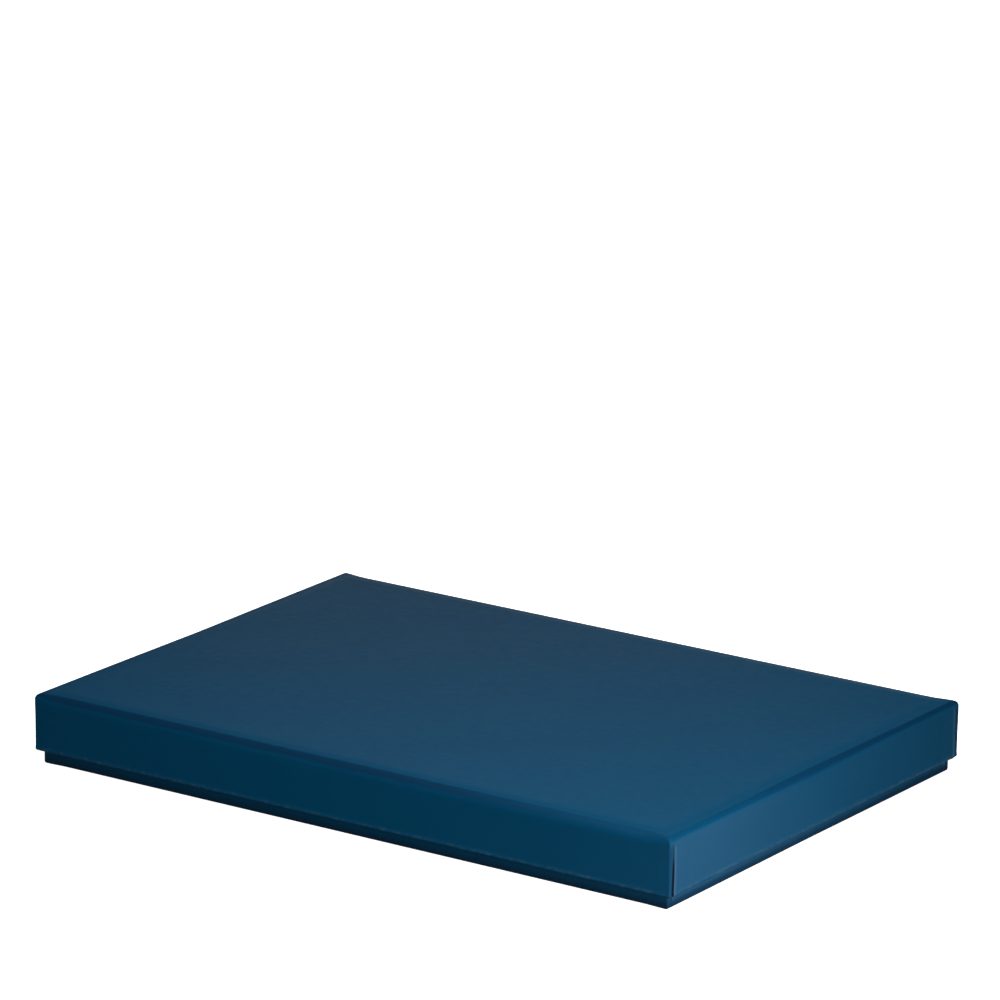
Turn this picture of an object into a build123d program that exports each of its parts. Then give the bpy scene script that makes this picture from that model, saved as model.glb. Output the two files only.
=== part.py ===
"""Flat archival box for A4 documents: a tray and a lift-off lid, both of covered greyboard.

Millimetres. X is the length, Y the width and Z up. The origin is at the middle of the
underside of the closed box. The front is the -Y side and the left is the -X side.

The two halves are made the same way, so each is built once in the tray's posture, with
its panel at z = 0 and its walls standing up to z = depth, and the lid is then turned over.
"""
from build123d import *
import os

# Overall size of the closed box
BOX_LENGTH = 322.0
BOX_WIDTH = 226.0
BOX_HEIGHT = 31.5
BASE_REVEAL = 6.0  # height of the tray that shows under the lid's rim
TRAY_STEP = 2.75  # how far each tray wall stands inside the lid's outer face

# Sheet thicknesses
BOARD = 1.8
COVER = 0.2
LINING = 0.15
STAY = 0.1

# Outside radius of the covered fold between panel and wall
LID_FOLD = 4.0
TRAY_FOLD = 2.0

# Making details, the same on both halves
RIM_RADIUS = 1.0  # rounding of the covered rim's outer edge
TURN_IN = 15.0  # how far the covering paper reaches down inside the wall
BOARD_SLIT = 0.3  # gap where a short wall of the blank butts on a long one
STAY_REACH = 18.0  # how far a corner stay goes along each wall
SEAM_INSET = 2.0  # from a corner to the seam in the short wall's covering
SEAM_GAP = 0.6  # open width of that seam
TURN_IN_GAP = 0.2  # open width of the joint between two turn-ins
REST_GAP = 0.1  # air between the tray's rim and the lid's lining
OVERRUN = 1.0  # how far a cutting tool runs past what it cuts

# Worked out from the above
LID_DEPTH = BOX_HEIGHT - BASE_REVEAL
PANEL_STACK = COVER + BOARD + LINING
TRAY_DEPTH = BOX_HEIGHT - PANEL_STACK - REST_GAP
TRAY_LENGTH = BOX_LENGTH - 2 * TRAY_STEP
TRAY_WIDTH = BOX_WIDTH - 2 * TRAY_STEP


def folded_profile(span, low, high, fold, rim):
    """A rectangle standing on its panel side, rounded at the folds below and the rim above."""
    outline = Pos(0, (low + high) / 2) * Rectangle(span, high - low)
    if fold > 0:
        outline = fillet(outline.vertices().group_by(Axis.Y)[0], fold)
    if rim > 0:
        outline = fillet(outline.vertices().group_by(Axis.Y)[-1], rim)
    return outline


def folded_block(length, width, low, high, fold=0.0, rim=0.0):
    """A block with its lower and upper edges rounded and mitred, and sharp upright corners."""
    along_x = Plane.XZ * folded_profile(length, low, high, fold, rim)
    along_y = Plane.YZ * folded_profile(width, low, high, fold, rim)
    return extrude(along_x, width / 2, both=True) & extrude(along_y, length / 2, both=True)


def shrunk(size, skin):
    """Length and width of a size after taking a skin off every side."""
    return size[0] - 2 * skin, size[1] - 2 * skin


def corners():
    """The four corners of a half, as signs along X and Y."""
    return [(x, y) for x in (-1, 1) for y in (-1, 1)]


def span_box(x_range, y_range, z_range):
    """A box between pairs of limits given in any order."""
    sizes = [abs(high - low) for low, high in (x_range, y_range, z_range)]
    centre = [(high + low) / 2 for low, high in (x_range, y_range, z_range)]
    return Pos(*centre) * Box(*sizes)


def hollow(size, skin, top):
    """The square-cornered space inside a half, within a skin of that thickness, up to top."""
    length, width = shrunk(size, skin)
    return span_box((-length / 2, length / 2), (-width / 2, width / 2), (skin, top))


def corner_slits(size, depth):
    """The open cuts where the short walls meet the long ones, from the panel past the rim."""
    length, width = shrunk(size, COVER + BOARD)
    slits = []
    for sign_x, sign_y in corners():
        x_range = (sign_x * (length / 2 - LINING), sign_x * (length / 2 + BOARD + OVERRUN))
        y_range = (sign_y * (width / 2 - BOARD_SLIT), sign_y * width / 2)
        slits.append(span_box(x_range, y_range, (COVER + BOARD, depth + OVERRUN)))
    return slits


def board_envelope(size, depth, fold):
    """The outside of the folded greyboard blank."""
    outside = shrunk(size, COVER)
    return folded_block(*outside, COVER, depth - COVER, fold - COVER, RIM_RADIUS - COVER)


def corner_stay(size, depth, fold, sign_x, sign_y):
    """A strip of paper tape folded round one corner, pressed flush into the board."""
    length, width = shrunk(size, COVER)
    x_range = (sign_x * (length / 2 - STAY_REACH), sign_x * length / 2)
    y_range = (sign_y * (width / 2 - STAY_REACH), sign_y * width / 2)
    block = span_box(x_range, y_range, (fold, depth - RIM_RADIUS))
    return block - hollow(size, COVER + STAY, depth)


def folded_board(size, depth, fold, stays):
    """One scored blank: a panel and four walls, the short walls butted between the long."""
    board = board_envelope(size, depth, fold) - hollow(size, COVER + BOARD, depth)
    for cut in corner_slits(size, depth) + stays:
        board -= cut
    return board


def lining_paper(size, depth):
    """The paper laminated to the inside of the blank, cut at the corners with it."""
    lining = hollow(size, COVER + BOARD, depth - COVER) - hollow(size, PANEL_STACK, depth)
    for slit in corner_slits(size, depth):
        lining -= slit
    return lining


def covering_paper(size, depth, fold):
    """The outer sheet: panel, four wings, the strip over the rim and the turn-in."""
    lined = shrunk(size, PANEL_STACK)
    mouth = shrunk(lined, COVER)
    rim = depth - COVER
    outside = folded_block(*size, 0, depth, fold, RIM_RADIUS)
    sheet = outside - board_envelope(size, depth, fold)
    sheet -= Pos(0, 0, depth) * Box(*mouth, 2 * COVER + OVERRUN)
    turn_in = Box(*lined, TURN_IN) - Box(*mouth, TURN_IN + OVERRUN)
    sheet += Pos(0, 0, rim - TURN_IN / 2) * turn_in
    for sign_x, sign_y in corners():
        sheet -= outer_seam(size, depth, fold, sign_x, sign_y)
        sheet -= turn_in_joint(mouth, depth, sign_x, sign_y)
    return sheet


def outer_seam(size, depth, fold, sign_x, sign_y):
    """The seam on a short wall, close to the corner, where its wing covers the long one's tab."""
    face_x = size[0] / 2
    seam_y = size[1] / 2 - SEAM_INSET
    x_range = (sign_x * (face_x - COVER), sign_x * (face_x + OVERRUN))
    y_range = (sign_y * (seam_y - SEAM_GAP), sign_y * seam_y)
    return span_box(x_range, y_range, (fold, depth + OVERRUN))


def turn_in_joint(mouth, depth, sign_x, sign_y):
    """The cut inside a corner where the turn-ins of two walls meet."""
    x_range = (sign_x * (mouth[0] / 2 - OVERRUN), sign_x * (mouth[0] / 2 + COVER))
    y_range = (sign_y * (mouth[1] / 2 - TURN_IN_GAP), sign_y * mouth[1] / 2)
    low = depth - COVER - TURN_IN - OVERRUN
    return span_box(x_range, y_range, (low, depth - COVER))


def corner_name(solid):
    """Front or back and left or right, from where a solid lies."""
    centre = solid.center()
    return ("front" if centre.Y < 0 else "back") + ("_left" if centre.X < 0 else "_right")


def covered_half(name, size, depth, fold, place):
    """Every sheet of one half of the box, by node name, in its place in the closed box."""
    stays = [corner_stay(size, depth, fold, sign_x, sign_y) for sign_x, sign_y in corners()]
    sheets = {
        f"{name}_board": place * folded_board(size, depth, fold, stays),
        f"{name}_lining": place * lining_paper(size, depth),
        f"{name}_wrap": place * covering_paper(size, depth, fold),
    }
    for stay in stays:
        placed = place * stay
        sheets[f"{name}_stay_{corner_name(placed)}"] = placed
    return sheets


def archival_box():
    """Both halves, the tray standing on its panel and the lid turned over on top of it."""
    upright = Location((0, 0, 0))
    turned_over = Location((0, 0, BOX_HEIGHT), (180, 0, 0))
    tray_size, lid_size = (TRAY_LENGTH, TRAY_WIDTH), (BOX_LENGTH, BOX_WIDTH)
    tray = covered_half("tray", tray_size, TRAY_DEPTH, TRAY_FOLD, upright)
    lid = covered_half("lid", lid_size, LID_DEPTH, LID_FOLD, turned_over)
    return {**tray, **lid}


os.makedirs("parts", exist_ok=True)
for node, solid in archival_box().items():
    export_step(solid, f"parts/{node}.step")
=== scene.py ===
"""Looks of a covered archival box, a tray under a lift-off lid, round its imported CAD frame.

The scene is in metres. The sheets are worked out in millimetres in a half's own
coordinates: x and y across its panel, and d, the distance from the panel's outer face
towards the rim. The lid is the same kind of half as the tray, turned over.
"""
import math
from collections import namedtuple

import bmesh
import bpy
from mathutils import Matrix, Vector, noise


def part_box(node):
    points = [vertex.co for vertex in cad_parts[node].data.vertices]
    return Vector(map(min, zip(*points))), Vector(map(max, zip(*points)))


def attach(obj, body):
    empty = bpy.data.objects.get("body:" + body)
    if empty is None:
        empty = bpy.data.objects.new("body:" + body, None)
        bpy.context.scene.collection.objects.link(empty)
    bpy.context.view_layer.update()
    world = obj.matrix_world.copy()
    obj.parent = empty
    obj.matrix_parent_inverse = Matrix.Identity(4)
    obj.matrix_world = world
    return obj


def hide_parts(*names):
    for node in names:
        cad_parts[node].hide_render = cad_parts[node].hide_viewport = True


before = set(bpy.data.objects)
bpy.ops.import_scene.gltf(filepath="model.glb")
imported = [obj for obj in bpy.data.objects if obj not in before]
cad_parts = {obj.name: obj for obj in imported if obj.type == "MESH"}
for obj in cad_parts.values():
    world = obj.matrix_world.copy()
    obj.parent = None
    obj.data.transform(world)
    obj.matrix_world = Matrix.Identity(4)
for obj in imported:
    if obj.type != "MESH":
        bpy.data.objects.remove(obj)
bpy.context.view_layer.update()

MM = 0.001

# Sheets, in millimetres
COVER = 0.2  # covering paper
LINING = 0.15  # lining paper
PAPER_FLOOR = -0.16  # the lowest the covering may lie: just above the board under it

# Form of the covering
FOLD_ROOM = {"lid": 5.0, "tray": 2.4}  # strip along each panel edge that holds the fold
FOLD_AT_CORNER = {"lid": 2.3, "tray": 1.2}  # outside radius of the fold beside a corner
FOLD_MIDWAY = {"lid": 4.0, "tray": 1.9}  # and along a wall
FOLD_EASE = (0.0, 11.0)  # distances from a corner between which one grows to the other
SHORT_WALL_EASE = 0.06  # share of a distance that counts on a short wall, whose fold stays tight
CORNER_RADIUS = 0.4  # rounding of the upright corners
RIM_RADIUS = 1.0  # rounding of the rim's outer edge
MOUTH_RADIUS = 0.5  # and of its inner edge
TURN_IN = 15.0  # how far the covering reaches down inside a wall
TURN_IN_NOTCH = 2.6  # how much shorter it is right at a corner
TURN_IN_EASE = 3.2  # distance from the corner over which that fades
TURN_IN_WAVE = (0.25, 17.0)  # unevenness of its edge, and the length of one wave
CREASE_RADIUS = 0.6  # inside radius of the lining between panel and wall
LINING_CORNER = 0.25  # rounding of the lining's upright corners

# Seam on the short walls, where the wing's cut edge lies over the long wall's tab
SEAM_TOP = 2.6  # distance of the slit from the corner at the fold
SEAM_RIM = 1.9  # and at the rim
SEAM_SHOWN = (1.5, 5.0)  # distances from the panel between which the seam comes out of the fold
SLIT_SHUT = 0.07  # half its width where it is closed
SLIT_OPEN = 0.62  # and at the rim, where it gapes most
SLIT_RUN = (6.0, 15.0)  # distances from the panel between which it opens
SLIT_LIP = 0.1  # width of its sloping sides
WING_RAISE = 0.1  # how far the wing stands up over the tab
WING_LIFT = 0.14  # extra lift of its free edge
WING_LIFT_EASE = 3.0  # distance from that edge over which the lift fades
WING_EDGE = 0.8  # how much of its edge shows the paper's core
TAB_END = (13.5, 17.5)  # distances from the corner over which the wing comes down
STAY_RIDGE = (4.7, 0.8, 0.05)  # ridge on the long walls: from the corner, half width, height
STAY_RIDGE_RUN = (2.0, 6.0)  # distances from the panel between which it rises

# Mesh spacing
CORNER_REACH = 24.0  # the close-set lines beside a corner end here
LONG_LINES = (0, 0.4, 0.9, 1.5, 2.3, 3.2, 4.0, 4.7, 5.4, 6.4, 8, 10, 12.5, 15.5, 19)
SHORT_LINES = (0, 0.5, 1.1, "slit", 4.9, 5.7, 7, 8.8, 11, 13, 14.5, 16, 17.5, 20)
CORNER_STEPS = 4
WALL_STEP = 1.5
ALONG_STEP = 6.0
BEAD_STRIP = 2.4  # strip beside the rim whose level lines are closer, for the bead
BEAD_STEPS = 5
RIM_MARGIN = 0.2  # distance from the last level line to the rim's rounding
FOLD_STEPS = {"outside": 9, "back": 6}
RIM_STEPS = {"outer": 5, "inner": 4}
CREASE_STEPS = {"face": 5, "back": 3}
TURN_IN_LINES = (0.06, 0.25, 0.5, 0.75, 0.97, 1.0)  # shares of the way to its edge
LINING_LINES = (0.1, 0.3, 0.5, 0.75, 1.0)  # shares of the way to the lining's top
WELD = 0.002  # points closer than this are one
ROUNDING = 1e-6  # lengths closer than this are the same
SHARP_ANGLE = 38  # degrees between faces from which an edge is shaded sharp

# What differs between the halves: seam gape by (short wall, end), and the panel's swell
GAPE = {
    "lid": {(1, 0): 1.0, (1, 1): 0.35, (3, 0): 0.5, (3, 1): 0.4},
    "tray": {(1, 0): 0.45, (1, 1): 0.3, (3, 0): 0.35, (3, 1): 0.5},
}
CROWN = {"lid": 0.18, "tray": 0.0}  # rise of the panel's middle
CROWN_RUN = (145.0, 100.0)  # distances from its x and y edges over which it rises
ROLL_OFF = {"lid": 0.28, "tray": 0.0}  # how far it rises just inside its folds
ROLL_RUN = (4.5, 9.0)  # distances from its edges between which it does so
PAINTED_FOLD_SHADE = (0.38, 1.0)  # painted shade on the folds and the rim's outer edge: how dark at the front right corner, where the light falls on them, and far from it
PAINTED_FOLD_SHADE_RUN = (0.0, 155.0)  # distances from that corner over which one grows to the other
PAINTED_FOLD_SHADE_TURN = (-5, 25, 50, 82)  # degrees round a fold: paler, dark from, dark to, pale again
RIM_PAINTED_FOLD_SHADE = (0, 60)  # degrees round the rim's outer edge over which its painted shade grows
FOOT_PAINTED_SHADOW = {"lid": 0.0, "tray": 0.62}  # painted contact shadow at the foot, as a share of the slit's painted shade
FOOT_RUN = (1.6, 4.2)  # distances from the panel over which it fades
RIM_BEAD = (0.9, 1.8, 0.12)  # swelling above the rim: its distance, half width and height
BEAD_WEAR_AND_HIGHLIGHT = 0.5  # worn specks and a painted highlight along the bead, from 0 to 1
RIM_WEAR_AND_HIGHLIGHT = 0.4  # and the rim's outer edge beside it
MOUTH_WEAR = 0.6  # and its inner edge
TAB_SHADE = 0.3  # painted shade on the seam's narrow tab, as a share of the slit's painted shade
LEAN = {"lid": 0.08, "tray": 0.0}  # how far the rim leans in
LEAN_START = 0.3  # share of the depth where the lean starts
CORNER_SWELL = {"lid": 0.14, "tray": 0.05}  # bulge of the wrapped corners near the panel
SWELL_ALONG = 14.0  # distance from the corner where the bulge ends
SWELL_DOWN = (3.5, 9.0)  # distance of its middle from the panel, and its half height

# Unevenness of the papers, each as its height and the length of one wave
WALL_WAVES = ((0.05, 62.0), (0.015, 13.0))
PANEL_WAVES = ((0.06, 70.0), (0.015, 15.0))
PANEL_WAVE_EDGE = 20.0  # distance from the panel's edges over which its waves fade
INNER_WAVE = (0.02, 24.0)
INNER_CLEAR = 0.02  # keeps the inside's waves out of the board

# Added to a half's seed, so that its surfaces differ
PANEL_SEED = 9
INNER_SEED = 20
TURN_IN_SEED = 40

# Ways that a course's surface looks, in degrees: 0 is outward and 90 out of the mouth
TO_PANEL = -90
INWARD = 180

# crack is painted shade, in the seam's slits and at the tray's foot; edge shows the paper's cut core
Surface = namedtuple("Surface", "height crack edge")
FLAT = Surface(0.0, 0.0, 0.0)


def ease(low, high, value):
    """0 below low, 1 above high, and smooth between them."""
    share = min(max((value - low) / (high - low), 0.0), 1.0)
    return share * share * (3 - 2 * share)


def mix(first, second, share):
    """The value that share of the way from the first to the second."""
    return first + (second - first) * share


def bell(value, middle, half_width):
    """1 at the middle, falling smoothly to 0 at that half width."""
    return 1 - ease(0, half_width, abs(value - middle))


def ripple(x, y, wavelength, seed):
    """Slow unevenness from -1 to 1, the same each run."""
    return noise.noise(Vector((x / wavelength, y / wavelength, seed)))


# ---------------------------------------------------------------- the frame's two halves


class Wall:
    """One wall of a half. along runs anticlockwise seen from +Z, and out points outward."""

    def __init__(self, half, index):
        turn = index * math.pi / 2
        self.index = index
        self.half = half
        self.along = Vector((round(math.cos(turn)), round(math.sin(turn))))
        self.out = Vector((round(math.sin(turn)), -round(math.cos(turn))))
        self.is_long = index % 2 == 0
        self.length = 2 * (half.half_x if self.is_long else half.half_y)
        self.reach = half.half_y if self.is_long else half.half_x
        self.stations = self.make_stations()

    def make_stations(self):
        """Where the mesh's upright lines stand, as (end, distance from it, slit line)."""
        lines = []
        for offset in LONG_LINES if self.is_long else SHORT_LINES:
            if offset == "slit":
                lines += [(None, number) for number in range(4)]
            else:
                lines.append((offset, None))
        middle = self.length - 2 * CORNER_REACH
        count = round(middle / ALONG_STEP)
        spread = [CORNER_REACH + middle * i / count for i in range(count + 1)]
        start = [(0, offset, slit) for offset, slit in lines]
        finish = [(1, offset, slit) for offset, slit in reversed(lines)]
        return start + [(0, offset, None) for offset in spread] + finish

    def slit_lines(self, end, d):
        """Distances from the corner of a slit's near lip, its two feet and the wing's edge."""
        gape = GAPE[self.half.name][self.index, end]
        middle = mix(SEAM_TOP, SEAM_RIM, min(d / self.half.depth, 1))
        half_width = mix(SLIT_SHUT, SLIT_OPEN * gape, ease(*SLIT_RUN, d))
        near, far = middle - half_width, middle + half_width
        return near - SLIT_LIP, near, far, far + SLIT_LIP

    def offset(self, station, d):
        """A station's distance from the end that it is counted from."""
        end, offset, slit = station
        return offset if slit is None else self.slit_lines(end, d)[slit]

    def distance(self, station, d, gap):
        """A station's distance along the wall, on a course whose ends stand a gap in."""
        offset = self.offset(station, d)
        if offset < CORNER_REACH:
            offset = gap + offset * (1 - gap / CORNER_REACH)
        return self.length - offset if station[0] else offset

    def point(self, distance, inset):
        """x and y at a distance along the wall and an inset from its outer face."""
        return self.out * (self.reach - inset) + self.along * (distance - self.length / 2)


class Half:
    """One half of the box: its sizes, from the frame, and the way from d to the frame's z.

    under_lining, lined and mouth are insets of the inside: behind the lining, on its face
    and on the turn-in's face over it.
    """

    def __init__(self, name, turned_over, seed):
        low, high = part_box(name + "_wrap")
        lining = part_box(name + "_lining")[0]
        self.name = name
        self.seed = seed
        self.middle = (low + high) / 2
        self.half_x = (high.x - low.x) / 2 / MM
        self.half_y = (high.y - low.y) / 2 / MM
        self.depth = (high.z - low.z) / MM
        self.rim_start = self.depth - RIM_RADIUS
        self.under_lining = (lining.x - low.x) / MM
        self.lined = self.under_lining + LINING
        self.mouth = self.lined + COVER
        self.fold_room = FOLD_ROOM[name]
        self.panel_z = high.z if turned_over else low.z
        self.rise = -MM if turned_over else MM
        self.walls = [Wall(self, index) for index in range(4)]

    def place(self, x, y, d):
        """A point of the half in the frame, in metres."""
        z = self.panel_z + self.rise * d
        return Vector((self.middle.x + x * MM, self.middle.y + y * MM, z))


# ------------------------------------------------------------- what each surface is like


def slit_surface(wall, end, slit, offset, d):
    """The short wall's covering at a distance from a corner: tab, slit and raised wing."""
    shown = ease(*SEAM_SHOWN, d)
    near, _, _, crest = wall.slit_lines(end, d)
    # the slit and the tab beside it get painted shade
    if slit in (1, 2):
        return Surface(PAPER_FLOOR * shown, shown, 0.0)
    if slit == 0 or offset <= near + ROUNDING:
        return Surface(0.0, TAB_SHADE * shown, 0.0)
    raised = WING_RAISE * (1 - ease(*TAB_END, offset))
    lifted = WING_LIFT * (1 - ease(0, WING_LIFT_EASE, offset - crest)) * ease(*SLIT_RUN, d)
    return Surface((raised + lifted) * shown, 0.0, WING_EDGE * shown if slit == 3 else 0.0)


def outer_face(wall, station, d):
    """How the outside of a wall lies against its nominal face."""
    half = wall.half
    end, _, slit = station
    offset = wall.offset(station, d)
    along = wall.distance(station, d, 0)
    near = min(along, wall.length - along)
    seed = half.seed + wall.index
    # painted contact shadow along the tray's foot, carried by the crack mark
    foot_shadow = FOOT_PAINTED_SHADOW[half.name] * (1 - ease(*FOOT_RUN, d))
    height = -LEAN[half.name] * ease(LEAN_START * half.depth, half.depth, d)
    distance, half_width, rise = RIM_BEAD
    height += rise * bell(half.depth - d, distance, half_width)
    height += CORNER_SWELL[half.name] * bell(near, 0, SWELL_ALONG) * bell(d, *SWELL_DOWN)
    (slow, slow_wave), (quick, quick_wave) = WALL_WAVES
    height += slow * ripple(along, d, slow_wave, seed) + quick * ripple(along, d, quick_wave, seed)
    if wall.is_long:
        middle, half_width, rise = STAY_RIDGE
        height += rise * bell(near, middle, half_width) * ease(*STAY_RIDGE_RUN, d)
        return Surface(height, foot_shadow, 0.0)
    special = slit_surface(wall, end, slit, offset, d) if near < CORNER_REACH else FLAT
    height = max(height + special.height, PAPER_FLOOR)
    return Surface(height, max(special.crack, foot_shadow), special.edge)


def inner_face(wall, station, d):
    """How the inside of a wall lies: almost flat, and never into the board."""
    along = wall.distance(station, d, 0)
    height, wave = INNER_WAVE
    uneven = height * ripple(along, d, wave, wall.half.seed + INNER_SEED)
    return Surface(INNER_CLEAR + uneven, 0.0, 0.0)


def cut_face(wall, station, d):
    """A sheet's own cut edge."""
    return Surface(0.0, 0.0, 1.0)


def hidden_face(wall, station, d):
    """A face that nothing shows, or whose shape is all in its courses."""
    return FLAT


def panel_rise(half, x, y):
    """How far the outside of the panel stands out of its nominal face."""
    if not CROWN[half.name]:
        return 0.0
    from_x, from_y = half.half_x - abs(x), half.half_y - abs(y)
    run_x, run_y = CROWN_RUN
    swell = CROWN[half.name] * ease(0, run_x, from_x) * ease(0, run_y, from_y)
    roll = ROLL_OFF[half.name] * rolled(from_x) * rolled(from_y)
    (slow, slow_wave), (quick, quick_wave) = PANEL_WAVES
    uneven = slow * ripple(x, y, slow_wave, half.seed + PANEL_SEED)
    uneven += quick * ripple(x, y, quick_wave, half.seed)
    fade = PANEL_WAVE_EDGE
    return swell + roll + uneven * ease(0, fade, from_x) * ease(0, fade, from_y)


def rolled(distance):
    """Share of that rise reached there: steepest beside the fold, then levelling out."""
    start, finish = ROLL_RUN
    left = 1 - min(max((distance - start) / (finish - start), 0.0), 1.0)
    return 1 - left * left


# --------------------------------------------------------------- closed sheets of paper


class Course:
    """One closed line of points round a half, at the same place in every wall's section.

    section gives (inset, d) for a distance from the nearest corner, and corner is the
    radius of its own corners. facing is the way its surface looks, in degrees. Its last two
    marks, from 0 to 1, are how worn the paper is, with a painted highlight along the rim,
    and the painted shade on folds and the rim's outer edge. fold_arc says that it lies on a
    fold, whose radius changes along a wall.
    """

    def __init__(
        self, section, corner, surface=hidden_face, facing=0.0, wear_and_highlight=0.0, fold=0.0, fold_arc=False
    ):
        self.section = section
        self.corner = corner
        self.surface = surface
        self.outward = math.cos(math.radians(facing))
        self.rimward = math.sin(math.radians(facing))
        self.wear_and_highlight = wear_and_highlight
        self.fold = fold
        self.fold_arc = fold_arc

    def wall_mark(self, wall, station):
        """Position and marks of one station on one wall; the crack and fold marks are painted shade."""
        d = self.section(CORNER_REACH)[1]
        offset = wall.offset(station, d)
        near = min(offset, wall.length - offset)
        if self.fold_arc and not wall.is_long:
            near *= SHORT_WALL_EASE
        inset, d = self.section(near)
        x, y = wall.point(wall.distance(station, d, inset + self.corner), inset)
        surface = self.surface(wall, station, d)
        half = wall.half
        # the folds and the rim's outer edge get painted shade, lighter near the front right corner,
        # where the light falls on them
        away = math.hypot(half.half_x - x, half.half_y + y)
        painted_shade = self.fold * mix(*PAINTED_FOLD_SHADE, ease(*PAINTED_FOLD_SHADE_RUN, away))
        return self.mark(half, x, y, d, wall.out, surface, painted_shade)

    def mark(self, half, x, y, d, out, surface, painted_shade=0.0):
        """Position and marks of a point, once its surface has moved it."""
        x += out.x * self.outward * surface.height
        y += out.y * self.outward * surface.height
        if self.rimward >= 0:
            d += self.rimward * surface.height
        elif self.surface is outer_face:
            d += self.rimward * panel_rise(half, x, y)
        return half.place(x, y, d), surface.crack, surface.edge, self.wear_and_highlight, painted_shade

    def corner_marks(self, before, after):
        """The rounded corner between two walls, without its ends."""
        inset, d = self.section(0)
        last, first = (1, 0, None), (0, 0, None)
        gap = inset + self.corner
        centre_x, centre_y = after.point(gap, gap)
        ends = self.surface(before, last, d), self.surface(after, first, d)
        marks = []
        for step in range(1, CORNER_STEPS):
            share = step / CORNER_STEPS
            angle = share * math.pi / 2
            out = before.out * math.cos(angle) + after.out * math.sin(angle)
            surface = Surface(*(mix(a, b, share) for a, b in zip(*ends)))
            x, y = centre_x + out.x * self.corner, centre_y + out.y * self.corner
            marks.append(self.mark(after.half, x, y, d, out, surface))
        return marks

    def ring(self, half):
        """The whole course, corner by corner and wall by wall."""
        marks = []
        for index, wall in enumerate(half.walls):
            marks += self.corner_marks(half.walls[index - 1], wall)
            marks += [self.wall_mark(wall, station) for station in wall.stations]
        return marks


class Sheet:
    """A closed sheet: a panel on each side, and rings that run from one to the other."""

    def __init__(self, half):
        self.half = half
        self.marks = []
        self.faces = []

    def add(self, marks):
        """Adds points, and gives their numbers in the mesh."""
        first = len(self.marks)
        self.marks += marks
        return list(range(first, len(self.marks)))

    def loft(self, courses):
        """Faces from each course to the next."""
        rings = [self.add(course.ring(self.half)) for course in courses]
        for lower, upper in zip(rings, rings[1:]):
            for i in range(len(lower)):
                self.faces.append((lower[i - 1], lower[i], upper[i], upper[i - 1]))

    def panel(self, course):
        """The grid across the panel, whose edge points are those of the course."""
        front, right, back, left = self.half.walls
        inset, d = course.section(CORNER_REACH)
        across = [front.distance(s, d, inset) - self.half.half_x for s in front.stations]
        up_right = [right.distance(s, d, inset) - self.half.half_y for s in right.stations]
        up_left = [self.half.half_y - left.distance(s, d, inset) for s in left.stations]
        up_left.reverse()
        rows = []
        for low, high in zip(up_left, up_right):
            row = []
            for x in across:
                share = (x - across[0]) / (across[-1] - across[0])
                y = mix(low, high, share)
                row.append(course.mark(self.half, x, y, d, Vector((0, 0)), FLAT))
            rows.append(self.add(row))
        for lower, upper in zip(rows, rows[1:]):
            for i in range(len(lower) - 1):
                self.faces.append((lower[i], lower[i + 1], upper[i + 1], upper[i]))

    def piece(self, name, material):
        """The sheet as an object, welded, facing outward and shaded smooth."""
        mesh = bpy.data.meshes.new(name)
        mesh.from_pydata([mark[0] for mark in self.marks], [], self.faces)
        for number, attribute in enumerate(("crack", "edge", "wear_and_highlight", "fold"), start=1):
            layer = mesh.attributes.new(attribute, "FLOAT", "POINT")
            layer.data.foreach_set("value", [mark[number] for mark in self.marks])
        welded = bmesh.new()
        welded.from_mesh(mesh)
        bmesh.ops.remove_doubles(welded, verts=welded.verts, dist=WELD * MM)
        bmesh.ops.recalc_face_normals(welded, faces=welded.faces)
        welded.to_mesh(mesh)
        welded.free()
        mesh.shade_smooth()
        mesh.set_sharp_from_angle(angle=math.radians(SHARP_ANGLE))
        mesh.materials.append(material)
        made = bpy.data.objects.new(name, mesh)
        bpy.context.scene.collection.objects.link(made)
        return made


def fixed(inset, d):
    """A section point that is the same all along a wall."""
    return lambda offset: (inset, d)


def fold_point(half, angle, skin=0.0):
    """A point of the fold's arc, whose radius grows away from the corners."""

    def section(offset):
        outside = mix(FOLD_AT_CORNER[half.name], FOLD_MIDWAY[half.name], ease(*FOLD_EASE, offset))
        radius = outside - skin
        turn = math.radians(angle)
        return skin + radius * (1 - math.sin(turn)), skin + radius * (1 - math.cos(turn))

    return section


def arc_angles(count):
    """The ends of that many equal steps round a quarter turn, in degrees."""
    return [90.0 * i / count for i in range(count + 1)]


def turn_in_edge(half, inset, share):
    """A point of the turn-in, by its share of the way down from the mouth to its edge."""
    top = half.depth - MOUTH_RADIUS

    def section(offset):
        notch = TURN_IN_NOTCH * (1 - ease(0, TURN_IN_EASE, offset))
        height, length = TURN_IN_WAVE
        wave = height * ripple(offset, inset, length, half.seed + TURN_IN_SEED)
        return inset, mix(top, half.depth - TURN_IN + notch + wave, share)

    return section


def wall_lines(start, finish):
    """Where a wall's level mesh lines lie: evenly, and closer along the bead by the rim."""
    beaded = finish - BEAD_STRIP
    count = round((beaded - start) / WALL_STEP)
    even = [mix(start, beaded, i / count) for i in range(count)]
    return even + [mix(beaded, finish, i / BEAD_STEPS) for i in range(BEAD_STEPS + 1)]


def painted_shade_at(angle):
    """How dark the painted shade is at an angle round a fold, from 0 to 1."""
    pale, dark_from, dark_to, pale_again = PAINTED_FOLD_SHADE_TURN
    return ease(pale, dark_from, angle) * (1 - ease(dark_to, pale_again, angle))


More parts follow.
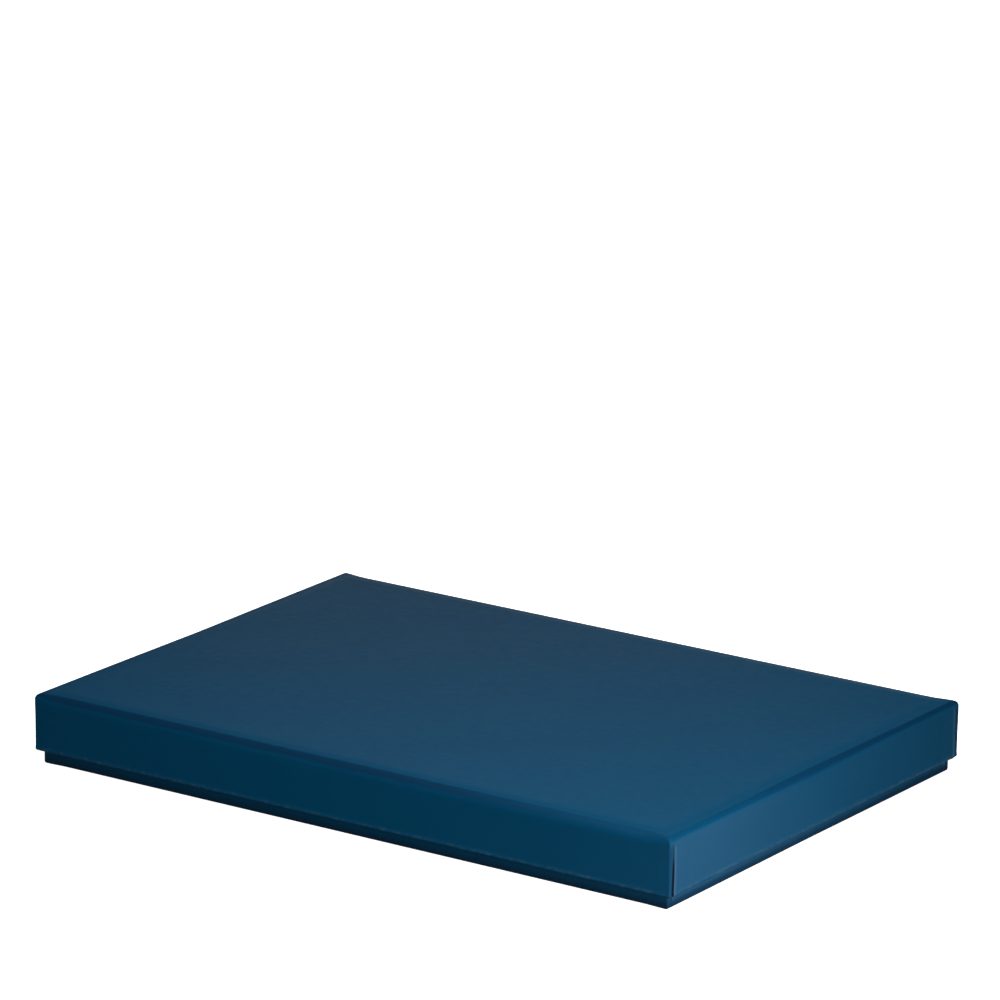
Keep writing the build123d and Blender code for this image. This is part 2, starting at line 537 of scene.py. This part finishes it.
def fold_courses(half):
    """The covering's outside, from its panel round the fold to the wall."""
    courses = [Course(fixed(half.fold_room, 0), 0, outer_face, TO_PANEL)]
    for angle in arc_angles(FOLD_STEPS["outside"]):
        corner = CORNER_RADIUS * math.sin(math.radians(angle))
        # painted shade across the middle of the fold's arc
        section, facing, painted_shade = fold_point(half, angle), TO_PANEL + angle, painted_shade_at(angle)
        courses.append(Course(section, corner, outer_face, facing, fold=painted_shade, fold_arc=True))
    return courses


def wall_courses(half):
    """Down the outside of the wall, with worn specks and a painted highlight along its bead."""
    courses = []
    for d in wall_lines(half.fold_room, half.rim_start - RIM_MARGIN):
        wear_and_highlight = BEAD_WEAR_AND_HIGHLIGHT * bell(half.depth - d, *RIM_BEAD[:2])
        courses.append(Course(fixed(0, d), CORNER_RADIUS, outer_face, wear_and_highlight=wear_and_highlight))
    return courses


def rim_courses(half):
    """Round the rim, over its outer edge and then its inner one."""
    courses = []
    for angle in arc_angles(RIM_STEPS["outer"]):
        turn = math.radians(angle)
        section = fixed(RIM_RADIUS * (1 - math.cos(turn)), half.rim_start + RIM_RADIUS * math.sin(turn))
        # where it faces out the edge gets worn specks and a painted highlight, and painted shade where
        # it turns under
        wear_and_highlight, painted_shade = RIM_WEAR_AND_HIGHLIGHT * math.cos(turn), ease(*RIM_PAINTED_FOLD_SHADE, angle)
        courses.append(Course(section, CORNER_RADIUS, outer_face, angle, wear_and_highlight, painted_shade))
    for angle in arc_angles(RIM_STEPS["inner"]):
        turn = math.radians(angle)
        inset = half.mouth - MOUTH_RADIUS * (1 - math.sin(turn))
        section = fixed(inset, half.depth - MOUTH_RADIUS * (1 - math.cos(turn)))
        facing = INWARD - angle
        courses.append(Course(section, CORNER_RADIUS, facing=facing, wear_and_highlight=MOUTH_WEAR))
    return courses


def turn_in_courses(half):
    """Down inside the wall to the turn-in's cut edge, and up again behind it."""
    courses = []
    for share in TURN_IN_LINES:
        surface = cut_face if share == 1 else inner_face
        section = turn_in_edge(half, half.mouth, share)
        courses.append(Course(section, CORNER_RADIUS, surface, INWARD))
    for share in (1.0, TURN_IN_LINES[0]):
        surface = cut_face if share == 1 else hidden_face
        section = turn_in_edge(half, half.lined, share)
        courses.append(Course(section, CORNER_RADIUS, surface, INWARD))
    return courses


def back_courses(half):
    """The covering's back: under the rim, up the wall, round the fold and to the panel."""
    under_rim = half.depth - COVER
    points = [(half.lined, under_rim), (RIM_RADIUS, under_rim)]
    points += [(COVER, half.rim_start), (COVER, half.fold_room)]
    courses = [Course(fixed(*point), CORNER_RADIUS) for point in points]
    for angle in reversed(arc_angles(FOLD_STEPS["back"])):
        corner = CORNER_RADIUS * math.sin(math.radians(angle))
        courses.append(Course(fold_point(half, angle, COVER), corner, fold_arc=True))
    courses.append(Course(fixed(half.fold_room, COVER), 0))
    return courses


def cover_courses(half):
    """The covering paper, from its panel's face round the rim and back under itself."""
    outside = fold_courses(half) + wall_courses(half) + rim_courses(half)
    return outside + turn_in_courses(half) + back_courses(half)


def crease_courses(face, radius, angles):
    """The lining round the crease between panel and wall, on one of its two faces."""
    courses = []
    for angle in angles:
        turn = math.radians(angle)
        inset, d = face + radius * (1 - math.sin(turn)), face + radius * (1 - math.cos(turn))
        courses.append(Course(fixed(inset, d), LINING_CORNER * math.sin(turn)))
    return courses


def lining_courses(half):
    """The lining paper, from the floor of the inside up the walls and back behind itself."""
    outer, inner = half.under_lining, half.lined
    top = half.depth - COVER
    low = inner + 2 * CREASE_RADIUS
    courses = [Course(fixed(inner + half.fold_room, inner), 0)]
    courses += crease_courses(inner, CREASE_RADIUS, arc_angles(CREASE_STEPS["face"]))
    for share in LINING_LINES:
        surface = inner_face if share < 1 else hidden_face
        section = fixed(inner, mix(low, top, share))
        courses.append(Course(section, LINING_CORNER, surface, INWARD))
    courses.append(Course(fixed(outer, top), LINING_CORNER, cut_face))
    courses.append(Course(fixed(outer, low), LINING_CORNER))
    back = reversed(arc_angles(CREASE_STEPS["back"]))
    courses += crease_courses(outer, CREASE_RADIUS + LINING, back)
    courses.append(Course(fixed(inner + half.fold_room, outer), 0))
    return courses


def make_sheet(half, name, courses, material):
    """A sheet through these courses, with a panel inside the first and the last."""
    sheet = Sheet(half)
    sheet.loft(courses)
    sheet.panel(courses[0])
    sheet.panel(courses[-1])
    return sheet.piece(name, material)


# ------------------------------------------------------------------------------ materials


class Nodes:
    """A material's node tree and the few kinds of node that these papers need."""

    def __init__(self, name):
        self.material = bpy.data.materials.new(name)
        self.material.use_nodes = True
        self.tree = self.material.node_tree
        self.shader = next(n for n in self.tree.nodes if n.type == "BSDF_PRINCIPLED")
        self.place = self.add("ShaderNodeTexCoord").outputs["Object"]

    def add(self, kind, **settings):
        """A new node with these settings."""
        node = self.tree.nodes.new(kind)
        for key, value in settings.items():
            setattr(node, key, value)
        return node

    def feed(self, socket, value):
        """Links an output to the socket, or sets the socket to a plain value."""
        if isinstance(value, bpy.types.NodeSocket):
            self.tree.links.new(value, socket)
        else:
            socket.default_value = value

    def stretched(self, x, y, z):
        """Object coordinates with each axis scaled, for streaks and fibres."""
        node = self.add("ShaderNodeMapping")
        self.feed(node.inputs["Vector"], self.place)
        node.inputs["Scale"].default_value = (x, y, z)
        return node.outputs["Vector"]

    def noise(self, size, detail=3.0, roughness=0.55, place=None, seed=0.0):
        """Noise from 0 to 1 whose blotches are about that many millimetres across."""
        node = self.add("ShaderNodeTexNoise", noise_dimensions="4D")
        self.feed(node.inputs["Vector"], place or self.place)
        node.inputs["W"].default_value = seed
        node.inputs["Scale"].default_value = 1 / (size * MM)
        node.inputs["Detail"].default_value = detail
        node.inputs["Roughness"].default_value = roughness
        return node.outputs["Fac"]

    def between(self, value, low, high, to_low=0.0, to_high=1.0):
        """The value's way from low to high, clamped, as a number from to_low to to_high."""
        node = self.add("ShaderNodeMapRange", interpolation_type="SMOOTHSTEP")
        self.feed(node.inputs["Value"], value)
        limits = ("From Min", low), ("From Max", high), ("To Min", to_low), ("To Max", to_high)
        for socket, limit in limits:
            node.inputs[socket].default_value = limit
        return node.outputs["Result"]

    def math(self, operation, first, second):
        """The result of one operation on two values, each a number or an output."""
        node = self.add("ShaderNodeMath", operation=operation)
        self.feed(node.inputs[0], first)
        self.feed(node.inputs[1], second)
        return node.outputs["Value"]

    def blend(self, share, first, second):
        """Two colours mixed by a share."""
        node = self.add("ShaderNodeMix", data_type="RGBA")
        self.feed(node.inputs["Factor"], share)
        for socket, value in (("A", first), ("B", second)):
            target = next(s for s in node.inputs if s.name == socket and s.type == "RGBA")
            self.feed(target, value if isinstance(value, bpy.types.NodeSocket) else (*value, 1))
        return next(s for s in node.outputs if s.type == "RGBA")

    def mark(self, name):
        """One of the numbers that the sheets carry at their points."""
        return self.add("ShaderNodeAttribute", attribute_name=name).outputs["Fac"]

    def bump(self, height, distance, under=None):
        """A bump of that many millimetres, over another one."""
        node = self.add("ShaderNodeBump")
        self.feed(node.inputs["Height"], height)
        node.inputs["Distance"].default_value = distance * MM
        if under:
            self.feed(node.inputs["Normal"], under)
        return node.outputs["Normal"]

    def finish(self, colour, roughness, normal, specular):
        """Feeds the shader, and gives the finished material."""
        self.feed(self.shader.inputs["Base Color"], colour)
        self.feed(self.shader.inputs["Roughness"], roughness)
        self.feed(self.shader.inputs["Normal"], normal)
        self.shader.inputs["Specular IOR Level"].default_value = specular
        return self.material


# Colours are linear
COVER_BLUE = (0.0001, 0.0485, 0.1090)
COVER_DEEP = (0.0000, 0.0450, 0.1025)
# painted shade of the folds and the rim's outer edge
COVER_PAINTED_FOLD_SHADE = (0.0, 0.016, 0.046)
# worn paper and scuffs, and the painted highlight along the rims
COVER_WORN_AND_LIT = (0.060, 0.125, 0.190)
PAPER_CORE = (0.09, 0.17, 0.235)
# painted shade in the seam's slits, and painted contact shadow at the tray's foot
PAINTED_DEEP_SHADE = (0.0, 0.003, 0.012)

# Most that each mark or speck changes the paper, from 0 to 1
WORN_AND_LIT_SHARE = 0.75
SCUFF_SHARE = 0.12
PAINTED_FOLD_SHADE_SHARE = 0.8
EDGE_SHARE = 0.35

TONE_SHARES = (0.4, 0.35, 0.25)  # of clouds, mottling and fibres in the blue's unevenness
COVER_ROUGHNESS = (0.36, 0.40)
ROUGHER = (("crack", 0.5), ("fold", 0.3), ("wear_and_highlight", 0.2))  # roughness that each mark adds
COVER_SPECULAR = 0.075


def cover_material():
    """Dyed, smooth covering paper: even blue, faint mottling, soft satin, light scuffs, with painted
    shade and highlights.
    """
    n = Nodes("cover_paper")
    cloud = n.between(n.noise(38.0, 2.0), 0.35, 0.65)
    mottle = n.between(n.noise(1.7, 4.0, 0.6, seed=3.0), 0.3, 0.7)
    fibre = n.between(n.noise(1.1, 3.0, 0.6, n.stretched(0.22, 1.0, 1.0), 7.0), 0.42, 0.62)
    parts = [n.math("MULTIPLY", *part) for part in zip((cloud, mottle, fibre), TONE_SHARES)]
    tone = n.math("ADD", n.math("ADD", parts[0], parts[1]), parts[2])
    colour = n.blend(tone, COVER_DEEP, COVER_BLUE)

    rub = n.between(n.noise(2.4, 5.0, 0.7, seed=11.0), 0.40, 0.72)
    # worn specks, and along the rim's bead and outer edge a painted highlight
    worn_and_lit = n.math("MULTIPLY", n.math("MULTIPLY", n.mark("wear_and_highlight"), rub), WORN_AND_LIT_SHARE)
    scuffs = n.between(n.noise(5.0, 4.0, 0.62, n.stretched(0.3, 1.0, 1.0), 21.0), 0.70, 0.80)
    colour = n.blend(worn_and_lit, colour, COVER_WORN_AND_LIT)
    colour = n.blend(n.math("MULTIPLY", scuffs, SCUFF_SHARE), colour, COVER_WORN_AND_LIT)
    # painted shade on the folds and under the rim
    colour = n.blend(n.math("MULTIPLY", n.mark("fold"), PAINTED_FOLD_SHADE_SHARE), colour, COVER_PAINTED_FOLD_SHADE)
    colour = n.blend(n.math("MULTIPLY", n.mark("edge"), EDGE_SHARE), colour, PAPER_CORE)
    # painted shade in the slits and painted contact shadow at the foot
    colour = n.blend(n.mark("crack"), colour, PAINTED_DEEP_SHADE)

    fine = n.noise(0.45, 2.0, 0.5, seed=31.0)
    roughness = n.between(n.noise(3.2, 3.0, seed=5.0), 0.3, 0.7, *COVER_ROUGHNESS)
    for mark, more in ROUGHER:
        roughness = n.math("ADD", roughness, n.math("MULTIPLY", n.mark(mark), more))
    normal = n.bump(mottle, 0.008)
    normal = n.bump(fibre, 0.006, normal)
    normal = n.bump(fine, 0.010, normal)
    return n.finish(colour, roughness, normal, COVER_SPECULAR)


LINING_CREAM = (0.66, 0.60, 0.48)
LINING_WARM = (0.60, 0.53, 0.40)
LINING_FLECK = (0.40, 0.31, 0.19)


def lining_material():
    """Uncoated cream lining paper with a few fibre flecks."""
    n = Nodes("lining_paper")
    tone = n.between(n.noise(14.0, 4.0, 0.6), 0.3, 0.7)
    colour = n.blend(tone, LINING_CREAM, LINING_WARM)
    fleck = n.between(n.noise(1.3, 2.0, 0.5, n.stretched(0.4, 1.0, 1.0), 4.0), 0.70, 0.76)
    colour = n.blend(n.math("MULTIPLY", fleck, 0.55), colour, LINING_FLECK)
    tooth = n.noise(0.6, 3.0, 0.6, seed=2.0)
    normal = n.bump(tooth, 0.03)
    roughness = n.between(tone, 0.0, 1.0, 0.80, 0.88)
    return n.finish(colour, roughness, normal, 0.2)


BOARD_GREY = (0.235, 0.215, 0.180)
BOARD_DARK = (0.115, 0.105, 0.090)
BOARD_PALE = (0.42, 0.40, 0.35)
PULP_SHADE = 0.82  # brightness of the pulp's darker parts, as a share of the others'


def board_material():
    """Recycled greyboard: grey-brown pulp with dark and pale specks."""
    n = Nodes("greyboard")
    pulp = n.between(n.noise(2.2, 6.0, 0.7), 0.3, 0.7)
    colour = n.blend(pulp, BOARD_GREY, tuple(PULP_SHADE * c for c in BOARD_GREY))
    dark = n.between(n.noise(0.7, 2.0, 0.5, seed=8.0), 0.62, 0.70)
    pale = n.between(n.noise(0.9, 2.0, 0.5, n.stretched(0.3, 1.0, 1.0), 15.0), 0.66, 0.74)
    colour = n.blend(n.math("MULTIPLY", dark, 0.6), colour, BOARD_DARK)
    colour = n.blend(n.math("MULTIPLY", pale, 0.6), colour, BOARD_PALE)
    normal = n.bump(n.noise(0.5, 4.0, 0.65, seed=2.0), 0.06)
    roughness = n.between(pulp, 0.0, 1.0, 0.86, 0.94)
    return n.finish(colour, roughness, normal, 0.15)


KRAFT = (0.36, 0.235, 0.125)
KRAFT_DARK = (0.25, 0.155, 0.080)


def tape_material():
    """Brown kraft paper tape with long fibres."""
    n = Nodes("stay_tape")
    fibre = n.noise(0.8, 4.0, 0.6, n.stretched(1.0, 1.0, 0.2))
    colour = n.blend(n.between(fibre, 0.35, 0.68), KRAFT, KRAFT_DARK)
    normal = n.bump(fibre, 0.02)
    roughness = n.between(fibre, 0.3, 0.7, 0.62, 0.74)
    return n.finish(colour, roughness, normal, 0.3)


# ----------------------------------------------------------------- camera, floor and light

CAMERA_AZIMUTH = 34.18  # degrees
CAMERA_ELEVATION = 15.99
CAMERA_ROLL = 0.68
CAMERA_DISTANCE = 2.784  # metres, all three
CAMERA_RIGHT = 0.0015
CAMERA_UP = 0.1139
CAMERA_LENS = 234.8  # millimetres on a 36 mm sensor


def make_camera():
    """A long lens from the front right, a little above the box."""
    azimuth, elevation = math.radians(CAMERA_AZIMUTH), math.radians(CAMERA_ELEVATION)
    roll = math.radians(CAMERA_ROLL)
    level = math.cos(elevation)
    back = Vector((math.sin(azimuth) * level, -math.cos(azimuth) * level, math.sin(elevation)))
    flat = Vector((math.cos(azimuth), math.sin(azimuth), 0))
    upright = back.cross(flat)
    right = flat * math.cos(roll) + upright * math.sin(roll)
    up = upright * math.cos(roll) - flat * math.sin(roll)
    data = bpy.data.cameras.new("camera")
    data.lens = CAMERA_LENS
    data.sensor_width = 36.0
    data.clip_end = 50.0
    camera = bpy.data.objects.new("camera", data)
    turn = Matrix((right, up, back)).transposed().to_4x4()
    place = back * CAMERA_DISTANCE + right * CAMERA_RIGHT + up * CAMERA_UP
    camera.matrix_world = Matrix.Translation(place) @ turn
    bpy.context.scene.collection.objects.link(camera)
    bpy.context.scene.camera = camera


SWEEP_FLAT = 3.0  # metres: radius of the level floor
SWEEP_COVE = 1.5  # radius of the curve between floor and wall
SWEEP_WALL = 5.0  # height of the wall
SWEEP_SIDES = 64
SWEEP_GLOW = 1.0  # its own brightness, which makes it white without the lamps
SWEEP_WHITE = (0.93, 0.93, 0.93, 1)
FLOOR_DROP = 0.0001  # keeps the floor just clear of the tray's underside


def sweep_profile():
    """Radius and height of the sweep, from the floor's middle outward and up."""
    bend = [math.radians(angle) for angle in range(0, 91, 10)]
    curve = [(SWEEP_FLAT + SWEEP_COVE * math.sin(t), SWEEP_COVE * (1 - math.cos(t))) for t in bend]
    return curve + [(SWEEP_FLAT + SWEEP_COVE, SWEEP_WALL)]


def make_sweep():
    """A plain white studio sweep. Its white lights neither the box nor its gloss."""
    turns = [2 * math.pi * i / SWEEP_SIDES for i in range(SWEEP_SIDES)]
    profile = sweep_profile()
    points = [
        (radius * math.cos(turn), radius * math.sin(turn), height - FLOOR_DROP)
        for radius, height in profile
        for turn in turns
    ]
    faces = [tuple(range(SWEEP_SIDES))]
    for low in range(0, SWEEP_SIDES * (len(profile) - 1), SWEEP_SIDES):
        for i in range(SWEEP_SIDES):
            after = (i + 1) % SWEEP_SIDES
            high = low + SWEEP_SIDES
            faces.append((low + i, low + after, high + after, high + i))
    mesh = bpy.data.meshes.new("sweep")
    mesh.from_pydata(points, [], faces)
    mesh.materials.append(sweep_material())
    sweep = bpy.data.objects.new("sweep", mesh)
    sweep.visible_diffuse = sweep.visible_glossy = sweep.visible_shadow = False
    bpy.context.scene.collection.objects.link(sweep)


def sweep_material():
    """A matt white that glows."""
    material = bpy.data.materials.new("sweep_white")
    material.use_nodes = True
    shader = next(n for n in material.node_tree.nodes if n.type == "BSDF_PRINCIPLED")
    shader.inputs["Base Color"].default_value = SWEEP_WHITE
    shader.inputs["Roughness"].default_value = 1.0
    shader.inputs["Specular IOR Level"].default_value = 0.0
    shader.inputs["Emission Color"].default_value = (1, 1, 1, 1)
    shader.inputs["Emission Strength"].default_value = SWEEP_GLOW
    return material


# Lamps: name, place and target in metres, side of the square in metres, watts. Those below
# the floor stand for the light that a bright floor throws back; the sweep casts no shadow.
LAMPS = (
    ("top_soft", (0.20, -0.30, 0.60), (0.161, -0.113, 0.0), 0.50, 3.8),
    ("top_right", (0.28, -0.16, 0.45), (0.161, -0.113, 0.0), 0.30, 1.1),
    ("side_near", (0.381, -0.113, 0.032), (0.161, -0.113, 0.02), 0.15, 0.6),
    ("side_tight", (0.30, -0.15, 0.05), (0.161, -0.113, 0.02), 0.10, 0.1),
    ("back_low", (-1.00, 1.48, 0.25), (0, 0, 0.03), 0.50, 0.3),
    ("floor_front", (0.13, -0.55, -0.18), (0.05, -0.113, 0.015), 0.40, 1.0),
    ("floor_right", (0.50, 0.45, -0.12), (0.161, -0.02, 0.015), 0.35, 0.1),
    ("floor_corner", (0.34, 0.10, -0.05), (0.161, -0.06, 0.015), 0.12, 0.1),
    ("floor_back", (-0.05, 0.65, -0.20), (0, 0.113, 0.015), 0.50, 2.1),
    ("floor_left", (-0.70, 0.00, -0.20), (-0.161, 0, 0.015), 0.50, 1.9),
)


def area_light(name, place, target, size, power):
    """A soft square lamp, which lights the box but isn't seen itself."""
    data = bpy.data.lights.new(name, "AREA")
    data.shape = "SQUARE"
    data.size = size
    data.energy = power
    lamp = bpy.data.objects.new(name, data)
    lamp.rotation_mode = "QUATERNION"
    lamp.rotation_quaternion = (Vector(target) - Vector(place)).to_track_quat("-Z", "Y")
    lamp.location = place
    lamp.visible_camera = False
    bpy.context.scene.collection.objects.link(lamp)


ROOM_GLOW = 0.15  # brightness of the room overhead
ROOM_EDGE = (0.04, 0.28)  # sine of the elevations between which it comes up from nothing


def make_room():
    """The world: a dim grey room that is dark at the level of the box and below."""
    world = bpy.data.worlds.new("room")
    world.use_nodes = True
    tree = world.node_tree
    tree.nodes.clear()
    place = tree.nodes.new("ShaderNodeTexCoord")
    split = tree.nodes.new("ShaderNodeSeparateXYZ")
    level = tree.nodes.new("ShaderNodeMapRange")
    level.inputs["From Min"].default_value, level.inputs["From Max"].default_value = ROOM_EDGE
    level.inputs["To Max"].default_value = ROOM_GLOW
    glow = tree.nodes.new("ShaderNodeBackground")
    out = tree.nodes.new("ShaderNodeOutputWorld")
    tree.links.new(place.outputs["Generated"], split.inputs[0])
    tree.links.new(split.outputs["Z"], level.inputs["Value"])
    tree.links.new(level.outputs["Result"], glow.inputs["Strength"])
    tree.links.new(glow.outputs[0], out.inputs["Surface"])
    bpy.context.scene.world = world


def make_lights():
    """The dim room and the lamps."""
    make_room()
    for lamp in LAMPS:
        area_light(*lamp)


# ------------------------------------------------------------------------------ the scene


def dress_half(half, cover, lining, board, tape):
    """Replaces a half's two plain papers, and gives its board and stays their materials."""
    name = half.name
    wrap = make_sheet(half, name + "_cover", cover_courses(half), cover)
    liner = make_sheet(half, name + "_liner", lining_courses(half), lining)
    for piece, node, slot in ((wrap, "_wrap", "cover_paper"), (liner, "_lining", "lining_paper")):
        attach(piece, name)
        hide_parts(name + node)
    for node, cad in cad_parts.items():
        if node.startswith(name + "_board"):
            assign(cad, board)
        if node.startswith(name + "_stay"):
            assign(cad, tape)


def assign(piece, material):
    """Gives a node of the frame its material."""
    piece.data.materials.clear()
    piece.data.materials.append(material)


make_camera()
make_sweep()
make_lights()
papers = cover_material(), lining_material(), board_material(), tape_material()
for half in (Half("tray", turned_over=False, seed=3.7), Half("lid", turned_over=True, seed=8.1)):
    dress_half(half, *papers)
bpy.context.scene.view_settings.view_transform = "Standard"
